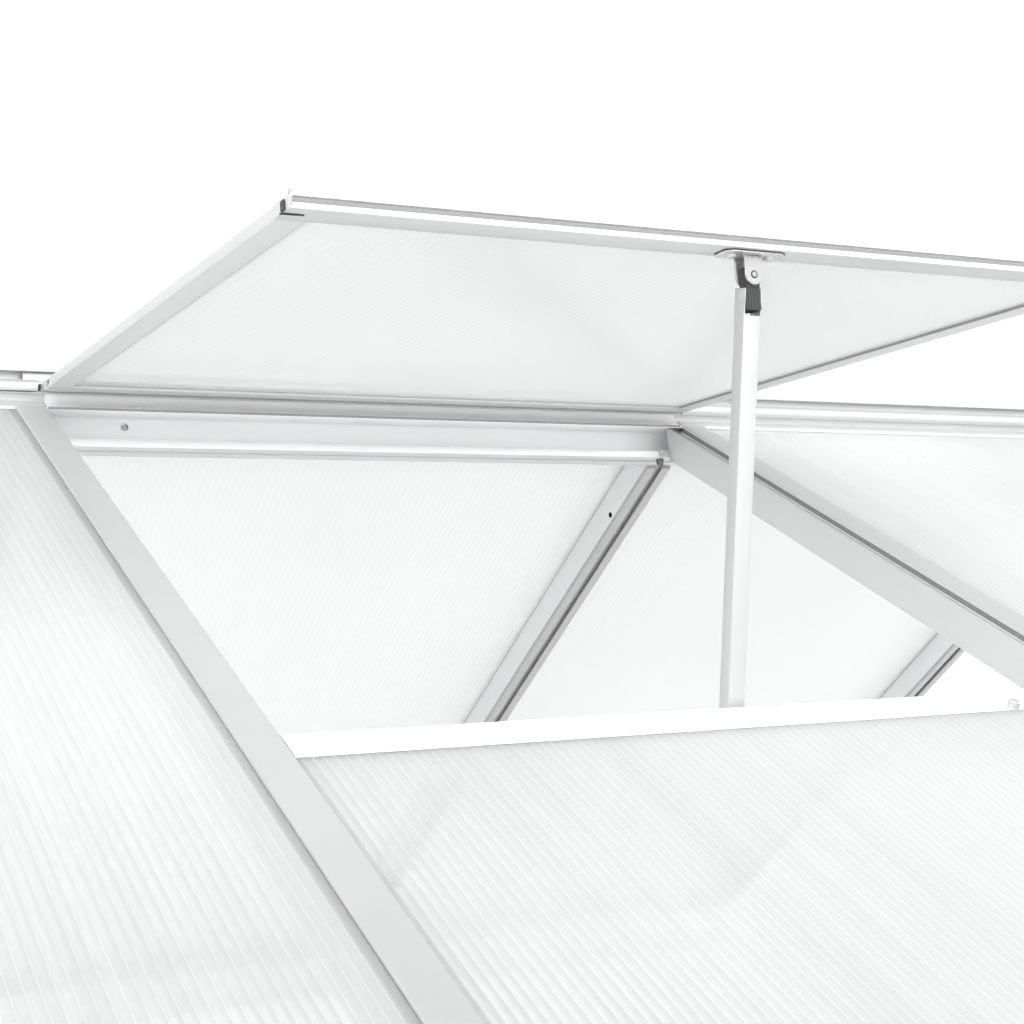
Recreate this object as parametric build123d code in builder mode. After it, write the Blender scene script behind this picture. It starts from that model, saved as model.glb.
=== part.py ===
from build123d import *
import math
import os

# Greenhouse roof section with an opening roof vent.
#
# Three bays of a ridged aluminium roof, glazed with 4 mm twin-wall sheet.  The
# middle bay of the front slope has a vent that hangs from the ridge and is
# propped open by a stay.  Millimetres, +X along the ridge, -Y to the front
# slope, +Z up, origin on the ground midway between the two eaves bars.

os.makedirs("parts", exist_ok=True)

# ---------------------------------------------------------------- roof layout
BAY = 620.0            # rafter pitch along the ridge
BAYS = 3
PITCH = 30.0           # roof slope, degrees
APEX = 620.0           # height at which the two outer slope planes meet
SLOPE = 1100.0         # slope length, apex to lower rafter end
RAFTER_X = [(-BAYS / 2 + i) * BAY for i in range(BAYS + 1)]

# ---------------------------------------------------------------- rafter bar
RAF_W = 28.0           # width of body
CAP_W = 23.6           # width of outer cap
RAF_D = 38.0           # whole depth
CAP_T = 3.6            # outer cap thickness
SLOT_D = 8.0           # depth at which the glazing slot ends
NECK_W = 8.0           # web between the two glazing slots
BOLT_SLOT_W = 7.0      # groove along the inner face
BOLT_SLOT_D = 4.0
CAP_START = 52.0       # cap begins below the ridge wing
HOLE_R = 3.0           # bolt hole in the side of one back rafter
HOLE_T, HOLE_DEP = 128.0, 28.8

# ---------------------------------------------------------------- glazing
GLZ_OUT, GLZ_IN = 3.8, 7.8     # depth of the sheet's two faces
GLZ_TOP, GLZ_END = 36.0, 1098.0
GLZ_EDGE = 5.0                 # sheet edge from the rafter's centre line

# ---------------------------------------------------------------- ridge bar
RIDGE_HALF = BAYS / 2 * BAY + RAF_W / 2
RIDGE_TOP = 15.5
RIDGE_BOTTOM = -52.5
WING_END = 50.5
HINGE_Y, HINGE_Z = -35.0, -9.0   # hinge line, from the apex
BARREL_IN, BARREL_OUT = 3.3, 5.4
WEB_HOLE_X, WEB_HOLE_Z, WEB_HOLE_R = -224.0, -32.0, 3.25

# ---------------------------------------------------------------- eaves bar
EAVES_IN, EAVES_OUT = 905.0, 957.0
FASCIA_T = 3.0

# ---------------------------------------------------------------- vent sill
SILL_TOP, SILL_FLANGE_END, SILL_BOX_END = 610.5, 635.5, 631.0
SILL_HALF = (BAY - RAF_W) / 2 - 0.2
SILL_FACE, SILL_DEEP = 2.8, 24.0
PEG_X, PEG_DEP, PEG_R, PEG_LEN = 15.5, 16.0, 3.0, 13.0

# ---------------------------------------------------------------- vent leaf
VENT_OPEN = 3.0        # slope of the open leaf, degrees below level
VENT_HALF = 300.0
VENT_BOT, VENT_TOP = -4.5, 3.0   # leaf faces, from the hinge line
SIDE_W = 17.4          # side rail width
TOPR_S0, TOPR_S1 = 11.0, 31.0
FREE_S0, FREE_S1, LIP_S = 539.0, 563.0, 578.0
FRONT_S, FRONT_LO, FRONT_HI = 557.5, -1.2, 2.2   # groove along the free edge
SHEET_LO, SHEET_HI = -2.6, 1.4
GROOVE = 8.0
BEAD_R = 3.0
NECK_T = 2.0

# ---------------------------------------------------------------- stay
STAY_X = -5.7                    # bracket from the middle of the leaf
STAY_LEAN = 1.78                 # sideways lean of the stay, foot to +X, degrees
TUBE_DX = -1.75                  # tube to one side of the clevis rivet, before the lean
PIN_S, PIN_H = 548.0, -17.7      # clevis rivet in the leaf's own frame
KNUCKLE = 12.5                   # rivet to rivet
EAR_W, EAR_T, EAR_GAP = 12.4, 1.5, 8.5
PLATE_W, PLATE_T = 44.0, 1.5
PLATE_S0, PLATE_S1 = 541.5, 559.5
TUBE_W, TUBE_D, TUBE_WALL = 12.0, 10.6, 1.0
TUBE_TOP = 5.3                   # side walls reach above the lower rivet
FOOT_Y, FOOT_Z = -512.8, -311.4  # middle of the tube's lower end, before the lean
NOTCH = 11.0                     # front and back walls start below the rivet
PIN_R = 2.0
RUN = 0.05                       # running clearance on the rivets

C, S = math.cos(math.radians(PITCH)), math.sin(math.radians(PITCH))


def front(t, dep):
    """Point on the front slope: t down from the apex, dep below the outer plane."""
    return (-t * C + dep * S, APEX - t * S - dep * C)


def back(t, dep):
    y, z = front(t, dep)
    return (-y, z)


CO, SO = math.cos(math.radians(VENT_OPEN)), math.sin(math.radians(VENT_OPEN))


def leaf(s, h):
    """Point on the open leaf: s out from the hinge line, h above it."""
    return (HINGE_Y - s * CO - h * SO, APEX + HINGE_Z - s * SO + h * CO)


def rect(fn, a0, a1, b0, b1):
    return [fn(a0, b0), fn(a1, b0), fn(a1, b1), fn(a0, b1)]


def prism(points, x0, x1, mode=Mode.ADD):
    """A (y, z) outline carried along X from x0 to x1."""
    with BuildSketch(Plane.YZ.offset(x0)) as outline:
        with BuildLine():
            Polyline(*points, close=True)
        make_face()
    extrude(outline.sketch, amount=x1 - x0, mode=mode)


def save(part, name):
    part.label = name
    export_step(part, "parts/%s.step" % name)


# ================================================================= ridge bar
with BuildPart() as ridge_bar:
    with BuildSketch(Plane.YZ.offset(-RIDGE_HALF)):
        # top flange with turned-down edges, web, glazing shelf and lower flange
        with Locations((0, APEX + RIDGE_TOP - 1.25)):
            Rectangle(26, 2.5)
        with Locations((-12, APEX + RIDGE_TOP - 2.9), (12, APEX + RIDGE_TOP - 2.9)):
            Rectangle(2, 5.8)
        with Locations((0, APEX + (RIDGE_TOP + RIDGE_BOTTOM) / 2)):
            Rectangle(4, RIDGE_TOP - RIDGE_BOTTOM)
        with Locations((0, APEX - 23.7)):
            Rectangle(50, 1.8)
        with Locations((0, APEX + RIDGE_BOTTOM + 3.25)):
            Rectangle(40, 6.5)
        for side in (front, back):
            k = 1 if side is front else -1
            # wing over the head of the glazing, with its turned-down lip
            with BuildLine():
                Polyline(side(2, 1.2), side(WING_END, 1.2), side(WING_END, 3.6),
                         side(WING_END - 2, 3.6), side(WING_END - 2, 3.0), side(2, 3.0), close=True)
            make_face()
            # hinge channel on a short rib
            with BuildLine():
                Polyline(side(33.6, -6.0), side(36.0, -6.0), side(36.0, 2.0), side(33.6, 2.0), close=True)
            make_face()
            with Locations((k * HINGE_Y, APEX + HINGE_Z)):
                Circle(BARREL_OUT)
        for k in (1, -1):
            with Locations((k * HINGE_Y, APEX + HINGE_Z)):
                Circle(BARREL_IN, mode=Mode.SUBTRACT)
            # mouth of the channel, wide enough for the leaf's neck to swing
            a0, a1 = math.radians(180 - 26), math.radians(180 + 58)
            hy, hz = HINGE_Y, APEX + HINGE_Z
            mouth = [(hy, hz)] + [(hy + 9 * math.cos(a0 + (a1 - a0) * i / 6), hz + 9 * math.sin(a0 + (a1 - a0) * i / 6)) for i in range(7)]
            with BuildLine():
                Polyline(*[(k * y, z) for y, z in mouth], close=True)
            make_face(mode=Mode.SUBTRACT)
        # bolt groove under the lower flange
        with Locations((0, APEX + RIDGE_BOTTOM + 2)):
            Rectangle(8, 4, mode=Mode.SUBTRACT)
    extrude(amount=2 * RIDGE_HALF)
    with BuildSketch(Plane.XZ.offset(-10)):
        with Locations((WEB_HOLE_X, APEX + WEB_HOLE_Z)):
            Circle(WEB_HOLE_R)
    extrude(amount=20, mode=Mode.SUBTRACT)
save(ridge_bar.part, "ridge_bar")


# ================================================================= rafters
def rafter_outline(side):
    k = -1 if side is front else 1
    foot = side(SLOPE, SLOT_D)
    inner = side(SLOPE, RAF_D)
    tan = S / C
    z_head = APEX - 25.6                         # head passes under the shelf
    y_head = (25.6 - SLOT_D / C) / tan
    z_low = APEX - 20 * tan - RAF_D / C          # head butts the lower flange
    return [(k * y_head, z_head), foot, inner, (k * 20.0, z_low), (k * 20.0, z_head)]


def make_rafter(xc, side, hole=False):
    with BuildPart() as rafter:
        prism(rafter_outline(side), xc - RAF_W / 2, xc + RAF_W / 2)
        prism(rect(side, CAP_START, SLOPE, CAP_T - 0.5, SLOT_D + 0.5), xc - NECK_W / 2, xc + NECK_W / 2)
        prism(rect(side, CAP_START, SLOPE, 0, CAP_T), xc - CAP_W / 2, xc + CAP_W / 2)
        prism(rect(side, -40, SLOPE + 20, RAF_D - BOLT_SLOT_D, RAF_D + 2),
              xc - BOLT_SLOT_W / 2, xc + BOLT_SLOT_W / 2, mode=Mode.SUBTRACT)
        if hole:
            y, z = side(HOLE_T, HOLE_DEP)
            with BuildSketch(Plane.YZ.offset(xc - RAF_W)) as bore:
                with Locations((y, z)):
                    Circle(HOLE_R)
            extrude(bore.sketch, amount=RAF_W, mode=Mode.SUBTRACT)
    return rafter.part


for i, xc in enumerate(RAFTER_X):
    save(make_rafter(xc, front), "rafter_front_%d" % (i + 1))
    save(make_rafter(xc, back, hole=(i in (1, 2))), "rafter_back_%d" % (i + 1))


# ================================================================= eaves bars
def eaves_outline(side):
    k = -1 if side is front else 1
    tan = S / C
    seat = lambda y: APEX - y * tan - RAF_D / C
    lip = APEX - 0.5 - (EAVES_OUT - FASCIA_T) * tan
    return [(k * EAVES_IN, 0), (k * EAVES_OUT, 0), (k * EAVES_OUT, lip),
            (k * (EAVES_OUT - FASCIA_T), lip), (k * (EAVES_OUT - FASCIA_T), seat(EAVES_OUT - FASCIA_T)),
            (k * EAVES_IN, seat(EAVES_IN))]


for side, name in ((front, "front"), (back, "back")):
    with BuildPart() as eaves_bar:
        prism(eaves_outline(side), -RIDGE_HALF, RIDGE_HALF)
    save(eaves_bar.part, "eaves_bar_" + name)

# ================================================================= roof sheets
for side, name in ((front, "front"), (back, "back")):
    for i, bay in enumerate(("left", "middle", "right")):
        top = SILL_TOP + 3.0 if (side is front and i == 1) else GLZ_TOP
        with BuildPart() as sheet:
            prism(rect(side, top, GLZ_END, GLZ_OUT, GLZ_IN), RAFTER_X[i] + GLZ_EDGE, RAFTER_X[i + 1] - GLZ_EDGE)
        save(sheet.part, "roof_sheet_%s_%s" % (name, bay))

# ================================================================= vent sill
with BuildPart() as vent_sill:
    prism(rect(front, SILL_TOP, SILL_FLANGE_END, SILL_FACE, GLZ_OUT - 0.1), -SILL_HALF, SILL_HALF)
    prism(rect(front, SILL_TOP, SILL_TOP + 2, SILL_FACE, SILL_DEEP), -SILL_HALF, SILL_HALF)
    prism(rect(front, SILL_TOP, SILL_BOX_END, GLZ_IN + 0.1, SILL_DEEP), -SILL_HALF, SILL_HALF)
save(vent_sill.part, "vent_sill")

# peg on the upper face of the sill, beside the stay's foot
py, pz = front(SILL_TOP, PEG_DEP)
peg_plane = Plane(origin=(PEG_X, py, pz), x_dir=(1, 0, 0), z_dir=(0, C, S))
with BuildPart() as stay_peg:
    with BuildSketch(peg_plane):
        Circle(PEG_R)
    extrude(amount=PEG_LEN)
save(stay_peg.part, "stay_peg")

# plugs that close the hinge channel beside the leaf
for k, name in ((-1, "left"), (1, "right")):
    with BuildPart() as vent_stop:
        with BuildSketch(Plane.YZ.offset(k * 303.3 - 1.5)):
            with Locations((HINGE_Y, APEX + HINGE_Z)):
                Circle(BARREL_IN - 0.05)
        extrude(amount=3)
    save(vent_stop.part, "vent_stop_" + name)

# ================================================================= vent leaf
with BuildPart() as vent_top_rail:
    prism(rect(leaf, TOPR_S0, TOPR_S1, VENT_BOT, VENT_TOP), -VENT_HALF, VENT_HALF)
    prism(rect(leaf, 0, TOPR_S0 + 1, -NECK_T / 2, NECK_T / 2), -VENT_HALF, VENT_HALF)
    with BuildSketch(Plane.YZ.offset(-VENT_HALF)):
        with Locations((HINGE_Y, APEX + HINGE_Z)):
            Circle(BEAD_R)
    extrude(amount=2 * VENT_HALF)
    prism(rect(leaf, TOPR_S1 - GROOVE, TOPR_S1 + 2, SHEET_LO - 0.1, SHEET_HI + 0.1),
          -VENT_HALF - 1, VENT_HALF + 1, mode=Mode.SUBTRACT)
save(vent_top_rail.part, "vent_top_rail")

with BuildPart() as vent_free_rail:
    prism(rect(leaf, FREE_S0, FREE_S1, VENT_BOT, VENT_TOP), -VENT_HALF, VENT_HALF)
    # groove for the sheet, and the groove along the front that holds the lip strip
    prism(rect(leaf, FREE_S0 - 2, FREE_S0 + GROOVE, SHEET_LO - 0.1, SHEET_HI + 0.1),
          -VENT_HALF - 1, VENT_HALF + 1, mode=Mode.SUBTRACT)
    prism(rect(leaf, FRONT_S, FREE_S1 + 1, FRONT_LO, FRONT_HI), -VENT_HALF - 1, VENT_HALF + 1, mode=Mode.SUBTRACT)
save(vent_free_rail.part, "vent_free_rail")

# soft clear strip, its root in the front groove, that laps over the sill
with BuildPart() as vent_lip_strip:
    prism(rect(leaf, FRONT_S + 0.1, FREE_S1 - 1.5, FRONT_LO + 0.1, FRONT_HI - 0.1), -VENT_HALF, VENT_HALF)
    prism(rect(leaf, FRONT_S + 0.1, LIP_S, 0.5, FRONT_HI - 0.1), -VENT_HALF, VENT_HALF)
save(vent_lip_strip.part, "vent_lip_strip")

for k, name in ((-1, "left"), (1, "right")):
    outer, inner = k * VENT_HALF, k * (VENT_HALF - SIDE_W)
    x0, x1 = min(outer, inner), max(outer, inner)
    g0, g1 = min(inner + k * GROOVE, inner - k), max(inner + k * GROOVE, inner - k)
    with BuildPart() as vent_side_rail:
        prism(rect(leaf, TOPR_S1, FREE_S0, VENT_BOT, VENT_TOP), x0, x1)
        prism(rect(leaf, TOPR_S1 - 1, FREE_S0 + 1, SHEET_LO - 0.1, SHEET_HI + 0.1), g0, g1, mode=Mode.SUBTRACT)
    save(vent_side_rail.part, "vent_side_rail_" + name)

with BuildPart() as vent_sheet:
    prism(rect(leaf, TOPR_S1 - GROOVE + 0.5, FREE_S0 + GROOVE - 0.5, SHEET_LO, SHEET_HI),
          -VENT_HALF + SIDE_W - GROOVE + 0.5, VENT_HALF - SIDE_W + GROOVE - 0.5)
save(vent_sheet.part, "vent_sheet")

# ================================================================= stay
# plane across the leaf at the clevis rivet: local x along X, local y up from the leaf
pin_y, pin_z = leaf(PIN_S, PIN_H)
leaf_out = (0, -CO, -SO)


def across(s):
    y, z = leaf(s, PIN_H)
    return Plane(origin=(STAY_X, y, z), x_dir=(1, 0, 0), z_dir=leaf_out)


UP = 1 if across(PIN_S).y_dir.Z > 0 else -1      # which way local y points
RISE = VENT_BOT - PIN_H                           # rivet to the leaf's underside

with BuildPart() as stay_bracket:
    with BuildSketch(across(PLATE_S0)):
        with Locations((0, UP * (RISE - PLATE_T / 2))):
            Rectangle(PLATE_W, PLATE_T)
    extrude(amount=PLATE_S1 - PLATE_S0)
    for s0 in (PIN_S - EAR_GAP / 2 - EAR_T, PIN_S + EAR_GAP / 2):
        with BuildSketch(across(s0)):
            Circle(EAR_W / 2)
            with Locations((0, UP * (RISE - 0.5) / 2)):
                Rectangle(EAR_W, RISE - 0.5)
        extrude(amount=EAR_T)
    with BuildSketch(across(PIN_S - 12)):
        Circle(PIN_R)
    extrude(amount=24, mode=Mode.SUBTRACT)
save(stay_bracket.part, "stay_bracket")

with BuildPart() as stay_bracket_rivet:
    with BuildSketch(across(PIN_S - EAR_GAP / 2 - EAR_T)):
        Circle(PIN_R)
    extrude(amount=EAR_GAP + 2 * EAR_T)
    for s0 in (PIN_S - EAR_GAP / 2 - EAR_T - 1.0, PIN_S + EAR_GAP / 2 + EAR_T):
        with BuildSketch(across(s0)):
            Circle(3.0)
        extrude(amount=1.0)
save(stay_bracket_rivet.part, "stay_bracket_rivet")

# tube axis: from the lower rivet to the foot
k2_y, k2_z = leaf(PIN_S, PIN_H - KNUCKLE)
dy, dz = FOOT_Y - k2_y, APEX + FOOT_Z - k2_z
STAY_LEN = math.hypot(dy, dz)
uy, uz = dy / STAY_LEN, dz / STAY_LEN


def tube(a, b):
    """Point beside the tube: a down its axis from the lower rivet, b to its front."""
    return (k2_y + a * uy + b * uz, k2_z + a * uz - b * uy)


SWING = Axis((STAY_X, pin_y, pin_z), (0, CO, SO))   # the clevis rivet's line
SIDE = Plane(origin=(STAY_X + TUBE_DX, 0, 0), x_dir=(0, 1, 0), z_dir=(1, 0, 0))
BLOCK_W, BLOCK_D, BLOCK_END = 9.6, 7.7, 9.4

with BuildPart() as stay_knuckle:
    # block hung on the clevis rivet, its lower end round about the lower rivet
    with BuildSketch(across(PIN_S - BLOCK_D / 2)):
        Circle(BLOCK_W / 2)
        with Locations((TUBE_DX, -UP * (KNUCKLE + BLOCK_END + 2) / 2)):
            Rectangle(BLOCK_W, KNUCKLE + BLOCK_END - 2)
    extrude(amount=BLOCK_D)
    with BuildSketch(SIDE.offset(-10)):
        with Locations((k2_y, k2_z)):
            Circle(40)
            Circle(BLOCK_END, mode=Mode.SUBTRACT)
        with BuildLine():
            Polyline(*rect(leaf, PIN_S - 45, PIN_S + 45, PIN_H - KNUCKLE, 40), close=True)
        make_face(mode=Mode.SUBTRACT)
    extrude(amount=20, mode=Mode.SUBTRACT)
    with BuildSketch(across(PIN_S - 12)):
        Circle(PIN_R + RUN)
    extrude(amount=24, mode=Mode.SUBTRACT)
    with BuildSketch(SIDE.offset(-10)):
        with Locations((k2_y, k2_z)):
            Circle(PIN_R + RUN)
    extrude(amount=20, mode=Mode.SUBTRACT)
save(stay_knuckle.part.rotate(SWING, -STAY_LEAN), "stay_knuckle")

with BuildPart() as stay_tube:
    x0, x1 = STAY_X + TUBE_DX - TUBE_W / 2, STAY_X + TUBE_DX + TUBE_W / 2
    prism(rect(tube, -TUBE_TOP, STAY_LEN, -TUBE_D / 2, TUBE_D / 2), x0, x1)
    prism(rect(tube, -20, STAY_LEN + 5, -TUBE_D / 2 + TUBE_WALL, TUBE_D / 2 - TUBE_WALL),
          x0 + TUBE_WALL, x1 - TUBE_WALL, mode=Mode.SUBTRACT)
    prism(rect(tube, -20, NOTCH, -TUBE_D, TUBE_D), x0 + TUBE_WALL, x1 - TUBE_WALL, mode=Mode.SUBTRACT)
    with BuildSketch(SIDE.offset(-10)):
        with Locations((k2_y, k2_z)):
            Circle(PIN_R)
    extrude(amount=20, mode=Mode.SUBTRACT)
save(stay_tube.part.rotate(SWING, -STAY_LEAN), "stay_tube")

with BuildPart() as stay_tube_rivet:
    with BuildSketch(SIDE.offset(-TUBE_W / 2)):
        with Locations((k2_y, k2_z)):
            Circle(PIN_R)
    extrude(amount=TUBE_W)
    for x0 in (-TUBE_W / 2 - 0.5, TUBE_W / 2):
        with BuildSketch(SIDE.offset(x0)):
            with Locations((k2_y, k2_z)):
                Circle(2.8)
        extrude(amount=0.5)
save(stay_tube_rivet.part.rotate(SWING, -STAY_LEAN), "stay_tube_rivet")

CL, SL = math.cos(math.radians(STAY_LEAN)), math.sin(math.radians(STAY_LEAN))
drop = (STAY_X + KNUCKLE * SL + TUBE_DX * CL, pin_y + KNUCKLE * SO * CL - TUBE_DX * SO * SL,
        pin_z - KNUCKLE * CO * CL + TUBE_DX * CO * SL)
print("hinge line  y %.3f z %.3f" % (HINGE_Y, APEX + HINGE_Z))
print("clevis rivet y %.3f z %.3f  axis (0, %.5f, %.5f)" % (pin_y, pin_z, -CO, -SO))
print("lower rivet  x %.4f y %.4f z %.4f  axis (%.6f, %.6f, %.6f)" % (drop + (CL, -SO * SL, CO * SL)))
print("stay length %.1f lean %.2f deg" % (STAY_LEN, math.degrees(math.atan2(uy, -uz))))
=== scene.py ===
import bpy
import bmesh
import math
from mathutils import Matrix, Vector
from mathutils.geometry import tessellate_polygon


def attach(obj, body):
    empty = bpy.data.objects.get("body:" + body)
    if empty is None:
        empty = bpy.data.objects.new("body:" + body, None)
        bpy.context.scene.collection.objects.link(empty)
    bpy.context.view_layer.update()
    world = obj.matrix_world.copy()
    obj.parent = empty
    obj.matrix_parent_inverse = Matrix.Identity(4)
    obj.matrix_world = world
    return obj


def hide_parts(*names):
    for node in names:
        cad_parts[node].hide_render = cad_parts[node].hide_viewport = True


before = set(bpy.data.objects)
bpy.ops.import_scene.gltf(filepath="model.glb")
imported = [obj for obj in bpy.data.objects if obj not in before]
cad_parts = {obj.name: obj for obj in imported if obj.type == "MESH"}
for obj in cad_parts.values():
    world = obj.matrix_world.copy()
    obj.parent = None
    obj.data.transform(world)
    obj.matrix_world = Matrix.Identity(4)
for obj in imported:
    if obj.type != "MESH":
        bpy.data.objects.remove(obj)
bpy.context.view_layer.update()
MM = 0.001

# ------------------------------------------------------------------ layout, mm
BAY, PITCH, APEX, SLOPE = 620.0, 30.0, 620.0, 1100.0
RAFTER_X = [-930.0, -310.0, 310.0, 930.0]
C, S = math.cos(math.radians(PITCH)), math.sin(math.radians(PITCH))
RIDGE_HALF = 944.0
HINGE_Y, HINGE_Z = -35.0, -9.0
VENT_OPEN, VENT_HALF = 3.0, 300.0
CO, SO = math.cos(math.radians(VENT_OPEN)), math.sin(math.radians(VENT_OPEN))
VENT_BOT, VENT_TOP = -4.5, 3.0
TOPR_S0, TOPR_S1 = 11.0, 31.0
FREE_S0, FREE_S1, LIP_S = 539.0, 563.0, 578.0
SIDE_W = 17.4
GROOVE = 8.0
SHEET_LO, SHEET_HI = -2.6, 1.4
GLZ_OUT, GLZ_IN, GLZ_TOP, GLZ_END = 3.8, 7.8, 36.0, 1098.0
SILL_TOP, SILL_FLANGE_END, SILL_BOX_END = 610.5, 635.5, 631.0
SILL_HALF, SILL_FACE, SILL_DEEP = 295.8, 2.8, 24.0
STAY_X, STAY_LEAN, TUBE_DX = -5.7, 1.78, -1.75
PIN_S, PIN_H, KNUCKLE = 548.0, -17.7, 12.5


def front(t, dep):
    return (-t * C + dep * S, APEX - t * S - dep * C)


def back(t, dep):
    y, z = front(t, dep)
    return (-y, z)


def leaf(s, h):
    return (HINGE_Y - s * CO - h * SO, APEX + HINGE_Z - s * SO + h * CO)


K2 = leaf(PIN_S, PIN_H - KNUCKLE)
FOOT = (-512.8, APEX - 311.4)
PIN = leaf(PIN_S, PIN_H)
STAY_LEN = math.hypot(FOOT[0] - K2[0], FOOT[1] - K2[1])
UY, UZ = (FOOT[0] - K2[0]) / STAY_LEN, (FOOT[1] - K2[1]) / STAY_LEN


def tube(a, b):
    return (K2[0] + a * UY + b * UZ, K2[1] + a * UZ - b * UY)


# each run turns profile coordinates (p, q) and the place a along the run into x, y, z
def run_x(p, q, a):
    return (a, p, q)


def run_front(p, q, a):
    return (p,) + front(a, -q)


def run_back(p, q, a):
    return (p,) + back(a, -q)


def run_leaf(p, q, a):
    return (p,) + leaf(a, q)


SWING = (0, CO, SO)
LEAN = Matrix.Translation((STAY_X,) + PIN) @ Matrix.Rotation(math.radians(-STAY_LEAN), 4, Vector(SWING)) @ Matrix.Translation((-STAY_X, -PIN[0], -PIN[1]))


def run_stay(p, q, a):
    """Beside the stay's tube, which leans a little about the clevis rivet."""
    return tuple(LEAN @ Vector((STAY_X + TUBE_DX + p,) + tube(a, q)))


def run_knuckle(p, q, a):
    return tuple(LEAN @ Vector((STAY_X + p,) + leaf(PIN_S + q, PIN_H + a)))


def run_up(p, q, a):
    """Outline across the leaf (x, s) carried up from its underside."""
    return (p,) + leaf(q, a)


# ------------------------------------------------------------------ mesh helpers
def to_object(name, bm, mat, body, node=None, angle=35):
    bmesh.ops.recalc_face_normals(bm, faces=bm.faces)
    me = bpy.data.meshes.new(name)
    bm.to_mesh(me)
    bm.free()
    for poly in me.polygons:
        poly.use_smooth = True
    me.set_sharp_from_angle(angle=math.radians(angle))
    ob = bpy.data.objects.new(name, me)
    bpy.context.scene.collection.objects.link(ob)
    for m in (mat if isinstance(mat, (list, tuple)) else [mat]):
        me.materials.append(m)
    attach(ob, body)
    if node:
        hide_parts(node)
    return ob


def rounded(pts, r, seg=2):
    """Outline with its corners rounded to r, or less on short edges."""
    out, n = [], len(pts)
    for i in range(n):
        p0, p1, p2 = Vector(pts[i - 1]), Vector(pts[i]), Vector(pts[(i + 1) % n])
        a, b = p0 - p1, p2 - p1
        la, lb = a.length, b.length
        if la < 1e-6 or lb < 1e-6:
            continue
        ang = a.angle(b)
        if ang > math.radians(165) or ang < math.radians(5):
            out.append(tuple(p1))
            continue
        d = min(r / math.tan(ang / 2), 0.45 * la, 0.45 * lb)
        rr = d * math.tan(ang / 2)
        mid = (a / la + b / lb).normalized()
        cen = p1 + mid * (rr / math.sin(ang / 2))
        s0, s1 = p1 + a / la * d - cen, p1 + b / lb * d - cen
        turn = s0.angle_signed(s1)
        for k in range(seg + 1):
            v = s0.copy()
            v.rotate(Matrix.Rotation(-turn * k / seg, 2))
            out.append(tuple(cen + v))
    return out


def add_run(bm, run, outer, a0, a1, holes=(), mat=0):
    """A closed profile, with optional holes, carried along its run."""
    loops = [list(outer)] + [list(h) for h in holes]
    flat = [p for lp in loops for p in lp]
    tris = tessellate_polygon([[Vector((p[0], p[1], 0)) for p in lp] for lp in loops])
    lo = [bm.verts.new(Vector(run(p[0], p[1], a0)) * MM) for p in flat]
    hi = [bm.verts.new(Vector(run(p[0], p[1], a1)) * MM) for p in flat]
    for t in tris:
        for vs in (lo, hi):
            try:
                f = bm.faces.new([vs[i] for i in t])
                f.material_index = mat
            except ValueError:
                pass
    base = 0
    for lp in loops:
        n = len(lp)
        for i in range(n):
            j = (i + 1) % n
            f = bm.faces.new((lo[base + i], lo[base + j], hi[base + j], hi[base + i]))
            f.material_index = mat
        base += n


def inset(pts, d):
    """Outline drawn in by d."""
    n = len(pts)
    turn = 1 if sum(pts[i - 1][0] * pts[i][1] - pts[i][0] * pts[i - 1][1] for i in range(n)) > 0 else -1
    out = []
    for i in range(n):
        a, b, c = Vector(pts[i - 1]), Vector(pts[i]), Vector(pts[(i + 1) % n])
        e, f = (b - a).normalized(), (c - b).normalized()
        m = Vector((-e.y - f.y, e.x + f.x))
        k = max(0.35, m.length / 2)
        out.append(tuple(b + m.normalized() * (turn * d / k)))
    return out


def add_slab(bm, run, outer, a0, a1, c, mat=0):
    """A closed outline carried along its run, with both ends chamfered by c."""
    sg = 1 if a1 > a0 else -1
    small = inset(outer, c)
    tris = tessellate_polygon([[Vector((q[0], q[1], 0)) for q in small]])
    rings = [[bm.verts.new(Vector(run(q[0], q[1], a)) * MM) for q in lp] for lp, a in ((small, a0), (outer, a0 + sg * c), (outer, a1 - sg * c), (small, a1))]
    n = len(outer)
    new = []
    for vs in (rings[0], rings[-1]):
        new += [bm.faces.new([vs[i] for i in t]) for t in tris]
    for lo, hi in zip(rings, rings[1:]):
        new += [bm.faces.new((lo[i], lo[(i + 1) % n], hi[(i + 1) % n], hi[i])) for i in range(n)]
    for f in new:
        f.material_index = mat


def add_lathe(bm, profile, origin, axis, seg=24, mat=0):
    """Profile of (radius, height) turned about axis; closed at both ends on the axis."""
    axis = Vector(axis).normalized()
    side = axis.orthogonal().normalized()
    other = axis.cross(side)
    o = Vector(origin)
    rings = []
    for r, h in profile:
        if r < 1e-6:
            rings.append([bm.verts.new((o + axis * h) * MM)])
        else:
            rings.append([bm.verts.new((o + axis * h + (side * math.cos(2 * math.pi * k / seg) + other * math.sin(2 * math.pi * k / seg)) * r) * MM) for k in range(seg)])
    for ra, rb in zip(rings, rings[1:]):
        for k in range(seg):
            j = (k + 1) % seg
            if len(ra) == 1 and len(rb) == 1:
                continue
            if len(ra) == 1:
                f = bm.faces.new((ra[0], rb[k], rb[j]))
            elif len(rb) == 1:
                f = bm.faces.new((ra[k], rb[0], ra[j]))
            else:
                f = bm.faces.new((ra[k], rb[k], rb[j], ra[j]))
            f.material_index = mat


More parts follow.
